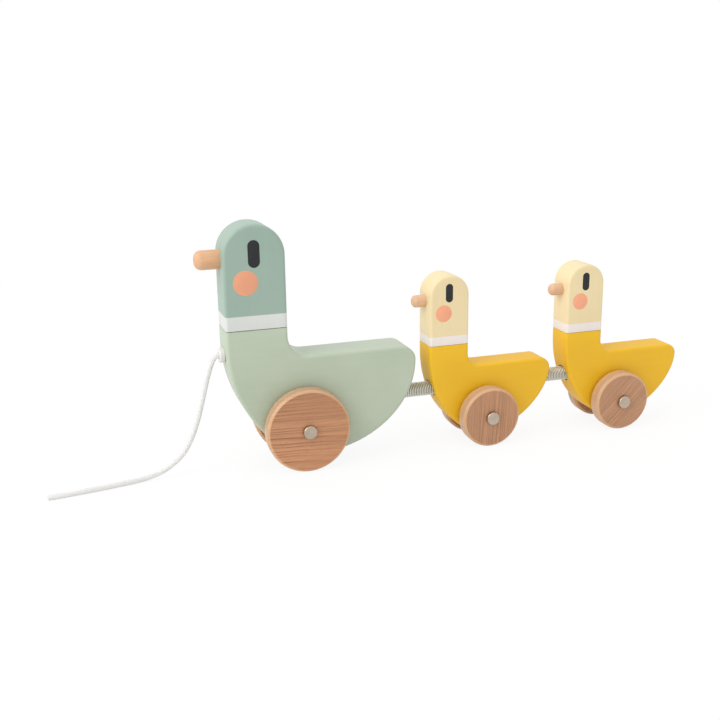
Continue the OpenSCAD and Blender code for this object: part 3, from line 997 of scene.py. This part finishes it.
def make_head(name, duck, x):
    head = saw_board(name, head_knots(duck), duck["thick"], x)
    cut_level(head, duck["seam"], use_fill=True, clear_inner=True)
    ease_joint(head, duck["seam"], duck["joint_chamfer"])
    cut_level(head, duck["band"])
    drill_dowel_holes(head, duck, x, SAW_OVER, DOWEL_DEEP)
    z = duck["seam"] + duck["beak_z"]
    front = x - duck["chest"]
    radius = duck["beak_d"] / 2 + DOWEL_PLAY
    drill(head, (front - SAW_OVER, 0, z), (front + BEAK_DEEP + HOLE_END, 0, z), radius)
    settle(head)
    return head


def paint_band(head, duck):
    """Faces under the band's edge take the second finish, white."""
    for face in head.data.polygons:
        face.material_index = 1 if face.center.z < duck["band"] * MM else 0


def make_beak(name, duck, x):
    """A dowel with a well rounded tip, set into the head."""
    front = x - duck["chest"]
    z = duck["seam"] + duck["beak_z"]
    radius = duck["beak_d"] / 2
    beak = add_rod(name, (front + BEAK_DEEP, 0, z), (front - duck["beak_out"], 0, z), radius)
    shape_open(beak)
    round_rim(beak, flat_side(0, -1), BEAK_ROUND * radius, BEAK_STEPS)
    round_rim(beak, flat_side(0, 1), BEAK_CHAMFER, 1)
    pick(beak, "faces", lambda face: -face.normal.x > DEAD_FLAT)
    step_in(BEAK_RING)
    return finished(beak)


mother_front = MOTHER_X - MOTHER["chest"]
plug_z = PLUG_FACE[2]
mother_body = make_body("mother_board", MOTHER, MOTHER_X)
drill_spring_hole(mother_body, MOTHER_TAIL_MOUTH - SPRING_DEEP, MOTHER_X + MOTHER["tail"] + DRILL_OVER)
drill(
    mother_body, (mother_front - DRILL_OVER, 0, plug_z), (mother_front + PLUG_HOLE_DEEP, 0, plug_z),
    PLUG_HOLE,
)
front_body = make_body("front_duckling_board", DUCKLING, FRONT_X)
drill_spring_hole(front_body, FRONT_CHEST_MOUTH + SPRING_DEEP, FRONT_X - DUCKLING["chest"] - DRILL_OVER)
rear_body = copy_to(front_body, "rear_duckling_board", REAR_STEP)
drill_spring_hole(front_body, FRONT_TAIL_MOUTH - SPRING_DEEP, FRONT_X + DUCKLING["tail"] + DRILL_OVER)

bodies = {"mother": mother_body, "front_duckling": front_body, "rear_duckling": rear_body}
heads = for_each_duck("head_block", make_head)
beaks = for_each_duck("beak_dowel", make_beak)
for duck_name, (duck, x) in DUCKS.items():
    settle(bodies[duck_name])
    dress(bodies[duck_name], duck_name, [f"{duck_name}_body"], duck["body_slot"], duck["body_paint"])
    head_paints = (duck["head_paint"], duck["band_paint"])
    dress(heads[duck_name], duck_name, [f"{duck_name}_head"], duck["head_slot"], *head_paints)
    paint_band(heads[duck_name], duck)
    dress(beaks[duck_name], duck_name, [f"{duck_name}_beak"], "beak_paint", duck["beak_wood"])


# Printed faces

PRINT_DEEP = 0.1
PRINT_PROUD = 0.05
PRINT_STEPS = 20
PRINT_EDGE_STEPS = 2


def make_print(name, knots, duck, x):
    """A printed spot: a thin film of colour on the left side of the head."""
    y = -duck["thick"] / 2 + PRINT_DEEP
    film = saw_outline(name, knots, x, y, -(PRINT_DEEP + PRINT_PROUD), PRINT_STEPS)
    round_rim(film, flat_side(1, -1), PRINT_PROUD, PRINT_EDGE_STEPS)
    return finished(film)


def make_eye(name, duck, x):
    """An upright slot with half round ends."""
    across, up = duck["eye"]
    radius = duck["eye_size"][0] / 2
    reach = ROUND * radius
    left, right = across - radius, across + radius
    half = duck["eye_size"][1] / 2 - radius
    low, high = up - half, up + half
    knots = [
        ((left, high), (left, low), (left, low - reach)),
        ((across - reach, low - radius), (across, low - radius), (across + reach, low - radius)),
        ((right, low - reach), (right, low), (right, high)),
        ((right, low), (right, high), (right, high + reach)),
        ((across + reach, high + radius), (across, high + radius), (across - reach, high + radius)),
        ((left, high + reach), (left, high), (left, low)),
    ]
    return make_print(name, knots, duck, x)


def make_cheek(name, duck, x):
    """A round spot."""
    across, up = duck["cheek"]
    radius = duck["cheek_r"]
    reach = ROUND * radius
    knots = [
        ((across - radius, up + reach), (across - radius, up), (across - radius, up - reach)),
        ((across - reach, up - radius), (across, up - radius), (across + reach, up - radius)),
        ((across + radius, up - reach), (across + radius, up), (across + radius, up + reach)),
        ((across + reach, up + radius), (across, up + radius), (across - reach, up + radius)),
    ]
    return make_print(name, knots, duck, x)


eyes = for_each_duck("eye_left", make_eye)
cheeks = for_each_duck("cheek_left", make_cheek)
for duck_name, (duck, x) in DUCKS.items():
    for spot, left, ink in (
        ("eye", eyes[duck_name], charcoal),
        ("cheek", cheeks[duck_name], duck["cheek_ink"]),
    ):
        right = mirror_to(left, f"{duck_name}_{spot}_right")
        for film in (left, right):
            dress(film, duck_name, [], None, ink)


# Wheels and their caps

WHEEL_WIDTH = 10.5
WHEEL_GAP = 1.2
WHEEL_SIDES = 96
WHEEL_BORE = 2.08
WHEEL_EDGE_STEPS = 8
# Lower than 0.5, so that a wheel's edge is nearer to a chamfer than to a round
WHEEL_EDGE_SHAPE = 0.28
CAP_GAP = 0.4
CAP_R = 4.625
CAP_H = 2.6
CAP_EDGE = 1.0
CAP_EDGE_STEPS = 6
# Width of the flat ring inside a cap's rounded rim
CAP_RING = 0.15
CAP_ROOF = 0.8
# Sides round a cap or the cord plug
SMALL_SIDES = 48


def make_wheel(name, duck, x):
    """A turned wooden disc on the left side, bored for its axle, its rims eased."""
    radius = duck["wheel"] / 2
    width = duck["wheel_edge"]
    inner = -duck["thick"] / 2 - WHEEL_GAP
    outer = inner - WHEEL_WIDTH
    wheel = add_rod(name, (x, inner, radius), (x, outer, radius), radius, WHEEL_SIDES)
    shape_open(wheel)
    pick(wheel, "faces", flat_across)
    step_in(width + FACE_RING)
    step_in(radius - width - FACE_RING - WHEEL_BORE)
    bpy.ops.mesh.delete(type="FACE")
    bridge_ends(wheel)
    rims = [on_circle(1, (x, y, radius), radius) for y in (inner, outer)]
    pick(wheel, "edges", lambda edge: any(rim(edge) for rim in rims))
    round_over(width, WHEEL_EDGE_STEPS, WHEEL_EDGE_SHAPE)
    return finished(wheel)


def make_cap(name, duck, x):
    """A pressed metal cap over the left end of an axle, hollow on its inner side."""
    z = duck["wheel"] / 2
    inner = -duck["thick"] / 2 - WHEEL_GAP - WHEEL_WIDTH - CAP_GAP
    outer = inner - CAP_H
    cap = add_rod(name, (x, inner, z), (x, outer, z), CAP_R, SMALL_SIDES)
    shape_open(cap)
    pick(cap, "faces", flat_side(1, 1))
    step_in(CAP_R - AXLE_HOLE)
    pull((0, -(CAP_H - CAP_ROOF), 0))
    pick(cap, "faces", flat_side(1, -1))
    step_in(CAP_EDGE + CAP_RING)
    pick(cap, "edges", on_circle(1, (x, outer, z), CAP_R))
    round_over(CAP_EDGE, CAP_EDGE_STEPS)
    return finished(cap)


# Wheel woods: the grain left and right, the rings' width, how much lighter one side across the wheel is
# painted as painted floor bounce, the rings' tones
WHEEL_WOODS = {
    "mother": ((LYING, SLANTING), 2.4, 0.16, ("#C68E65", "#B37A53", "#8A5636")),
    "front_duckling": ((UPRIGHT, LYING), 1.7, 0.03, ("#BE8C67", "#AE7B56", "#8E6040")),
    "rear_duckling": ((SLANTING, UPRIGHT), 1.5, 0.04, ("#C08F6B", "#B17F5B", "#8C5E40")),
}

wheels = {}
caps = {}
for duck_name, (duck, x) in DUCKS.items():
    if duck_name == "rear_duckling":
        # Copied from the dressed front ones, so these stand for the front ones' solids too
        wheels[duck_name] = copy_to(wheels["front_duckling"], f"{duck_name}_wheel_disc_left", REAR_STEP)
        caps[duck_name] = copy_to(caps["front_duckling"], f"{duck_name}_cap_left", REAR_STEP)
    else:
        wheels[duck_name] = make_wheel(f"{duck_name}_wheel_disc_left", duck, x)
        caps[duck_name] = make_cap(f"{duck_name}_cap_left", duck, x)
    turns, ring, painted_bounce, tones = WHEEL_WOODS[duck_name]
    radius = duck["wheel"] / 2
    out = duck["thick"] / 2 + WHEEL_GAP + WHEEL_WIDTH / 2
    right_wheel = mirror_to(wheels[duck_name], f"{duck_name}_wheel_disc_right")
    right_cap = mirror_to(caps[duck_name], f"{duck_name}_cap_right")
    for side, y, turn, wheel, cap in (
        ("left", -out, turns[0], wheels[duck_name], caps[duck_name]),
        ("right", out, turns[1], right_wheel, right_cap),
    ):
        body = f"{duck_name}_wheel_{side}"
        wood = turned_wood(
            f"{duck_name}_wheel_wood_{side}", (x, y, radius), turn, radius, duck["wheel_edge"],
            ring, painted_bounce, *tones,
        )
        dress(wheel, body, [body], "wheel_wood", wood)
        dress(cap, duck_name, [f"{duck_name}_axle_caps"], "cap_nickel", nickel)


# Link springs: close-wound coils, each cut in two halves

WIRE = 1.2
PITCH = 1.26
TURN_STEPS = 32
WIRE_SIDES = 12
# A coil's turns are whole tenths
TURN_PARTS = 10
# Corners of the wire under this angle are smoothed, in degrees
WIRE_SMOOTH = 50


def wind_spring(name, start, end):
    """A close-wound coil between two places along the train."""
    coil_r = (SPRING_OD - WIRE) / 2
    turns = math.floor((end - start - WIRE) / PITCH * TURN_PARTS) / TURN_PARTS
    put_down()
    bpy.ops.mesh.primitive_circle_add(
        vertices=WIRE_SIDES, radius=WIRE / 2 * MM, fill_type="NOTHING", location=(0, coil_r * MM, 0),
    )
    coil = bpy.context.object
    call(coil, name)
    apply_place()
    steps = round(turns * TURN_STEPS)
    use_modifier(
        coil, "SCREW", axis="X", angle=turns * 2 * math.pi, screw_offset=turns * PITCH * MM, iterations=1,
        steps=steps, render_steps=steps, use_smooth_shade=True,
    )
    shift(coil, (start + WIRE / 2, 0, SPRING_Z))
    return coil


def halve_spring(coil, name):
    """Cuts a coil across its wire at mid-length, and closes the wire's ends."""
    half = len(coil.data.vertices) // WIRE_SIDES // 2
    shape_open(coil)
    pick(coil, "faces", lambda face: min(v.index for v in face.verts) // WIRE_SIDES >= half)
    bpy.ops.mesh.separate(type="SELECTED")
    shape_done()
    other = [o for o in bpy.context.selected_objects if o != coil][0]
    call(other, name)
    for part in (coil, other):
        shape_open(part)
        pick(part, "edges", lambda edge: edge.is_boundary)
        bpy.ops.mesh.fill_holes(sides=0)
        shape_done()
        settle(part, WIRE_SMOOTH)
    return coil, other


for link, before, after, start, end in (
    ("front_link", "mother", "front_duckling", MOTHER_TAIL_MOUTH, FRONT_CHEST_MOUTH),
    ("rear_link", "front_duckling", "rear_duckling", FRONT_TAIL_MOUTH, REAR_CHEST_MOUTH),
):
    deep = SPRING_DEEP - HOLE_END
    coil = wind_spring(f"{link}_coil_front", start - deep, end + deep)
    front_half, rear_half = halve_spring(coil, f"{link}_coil_rear")
    middle = (start + end) / 2
    for half, ends, places in (
        (front_half, (before, link), (start, middle)),
        (rear_half, (link, after), (middle, end)),
    ):
        half.data.materials.append(steel)
        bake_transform(half)
        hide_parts(f"{link}_spring")


# Cord plug: a flanged bush in the mother's chest

FLANGE_R = 5.0
FLANGE_EDGE = 0.8
FLANGE_STEPS = 6
# Width of the flat ring inside the flange's rounded rim
FLANGE_RING = 0.1
BARREL_R = 3.75
BARREL_LEN = 8.0
CORD_BORE = 2.0
MOUTH_EDGE = 0.35
MOUTH_STEPS = 3


def make_plug():
    plug = add_rod("cord_bush", (mother_front, 0, plug_z), PLUG_FACE, FLANGE_R, SMALL_SIDES)
    shape_open(plug)
    pick(plug, "faces", flat_side(0, -1))
    step_in(FLANGE_EDGE + FLANGE_RING)
    step_in(FLANGE_R - FLANGE_EDGE - FLANGE_RING - CORD_BORE)
    bpy.ops.mesh.delete(type="FACE")
    pick(plug, "faces", flat_side(0, 1))
    step_in(FLANGE_R - BARREL_R)
    pull((BARREL_LEN, 0, 0))
    step_in(BARREL_R - CORD_BORE)
    bpy.ops.mesh.delete(type="FACE")
    bridge_ends(plug)
    pick(plug, "edges", on_circle(0, PLUG_FACE, FLANGE_R))
    round_over(FLANGE_EDGE, FLANGE_STEPS)
    pick(plug, "edges", on_circle(0, PLUG_FACE, CORD_BORE))
    round_over(MOUTH_EDGE, MOUTH_STEPS)
    return finished(plug)


dress(make_plug(), "mother", ["cord_plug"], "plug_plastic", plug_white)


# Fittings inside the boards keep their solids

inner_finishes = {
    "cord_knot": cord_cotton,
    "mother_spring_peg": birch,
    "front_duckling_spring_pegs": birch,
    "rear_duckling_spring_peg": birch,
}
for duck_name in DUCKS:
    inner_finishes[f"{duck_name}_neck_dowels"] = birch
    inner_finishes[f"{duck_name}_axle"] = axle_steel
for node, finish in inner_finishes.items():
    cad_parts[node].material_slots[0].material = finish


# Floor and light, in metres

FLOOR_SIZE = 40
FLOOR_TONES = ((0.88, 0.88, 0.88, 1), (0.9, 0.9, 0.9, 1))
FLOOR_WAVES = 3
# How white the floor glows near the train, and the two distances between which it goes all white
FLOOR_GLOW = 0.9
FLOOR_NEAR = 0.3
FLOOR_FAR = 0.75
WHITE = (1, 1, 1, 1)
ROOM_LIGHT = 0.79
LAMP_AIM = (0, 0, 0.05)
# Place, size and power of each lamp
LAMPS = {
    "soft_key": ((-1.9, -0.6, 1.5), 1.8, 29),
    "soft_top": ((0.1, 0.1, 2.0), 2.0, 9),
}


def seen_share(tree):
    """One for what the camera sees, straight or in a gloss, and nought for the light on the train."""
    path = tree.nodes.new("ShaderNodeLightPath")
    seen = path.outputs["Is Camera Ray"]
    for ray in ("Is Glossy Ray", "Is Transmission Ray"):
        either = tree.nodes.new("ShaderNodeMath")
        either.operation = "MAXIMUM"
        tree.links.new(seen, either.inputs[0])
        tree.links.new(path.outputs[ray], either.inputs[1])
        seen = either.outputs[0]
    return seen


def show_instead(tree, share, usual, shown, output):
    """Shows one shader in place of the usual one, for a share of the rays."""
    mixed = tree.nodes.new("ShaderNodeMixShader")
    tree.links.new(share, mixed.inputs[0])
    tree.links.new(usual.outputs[0], mixed.inputs[1])
    tree.links.new(shown.outputs[0], mixed.inputs[2])
    tree.links.new(mixed.outputs[0], tree.nodes[output].inputs["Surface"])


def lay_floor():
    put_down()
    bpy.ops.mesh.primitive_plane_add(size=FLOOR_SIZE)
    floor = bpy.context.object
    floor.name = "floor"
    finish = Finish("pale_floor")
    finish.set(
        Base_Color=finish.blend(finish.noise(FLOOR_WAVES), *FLOOR_TONES),
        Roughness=1.0,
        Specular_IOR_Level=0.0,
    )
    away = finish.node("VectorMath", {0: finish.place}, operation="LENGTH").outputs["Value"]
    glowing = finish.spread(away, FLOOR_GLOW, 1.0, (FLOOR_NEAR, FLOOR_FAR))
    share = finish.math("MULTIPLY", seen_share(finish.tree), glowing)
    glow = finish.node("Emission", {"Strength": 1.0})
    show_instead(finish.tree, share, finish.shader, glow, "Material Output")
    floor.data.materials.append(finish.material)


def light_room():
    """Even light from all round, with a white background behind the train."""
    world = bpy.data.worlds.new("studio")
    scene.world = world
    world.use_nodes = True
    tree = world.node_tree
    room = tree.nodes["Background"]
    room.inputs["Color"].default_value = WHITE
    room.inputs["Strength"].default_value = ROOM_LIGHT
    backdrop = tree.nodes.new("ShaderNodeBackground")
    backdrop.inputs["Color"].default_value = WHITE
    show_instead(tree, seen_share(tree), room, backdrop, "World Output")


def hang_lamp(name, place, size, power):
    place = Vector(place)
    bpy.ops.object.light_add(type="AREA", location=place, rotation=turned_along(place - Vector(LAMP_AIM)))
    lamp = bpy.context.object
    lamp.name = name
    lamp.data.size = size
    lamp.data.energy = power


lay_floor()
light_room()
for lamp_name, settings in LAMPS.items():
    hang_lamp(lamp_name, *settings)
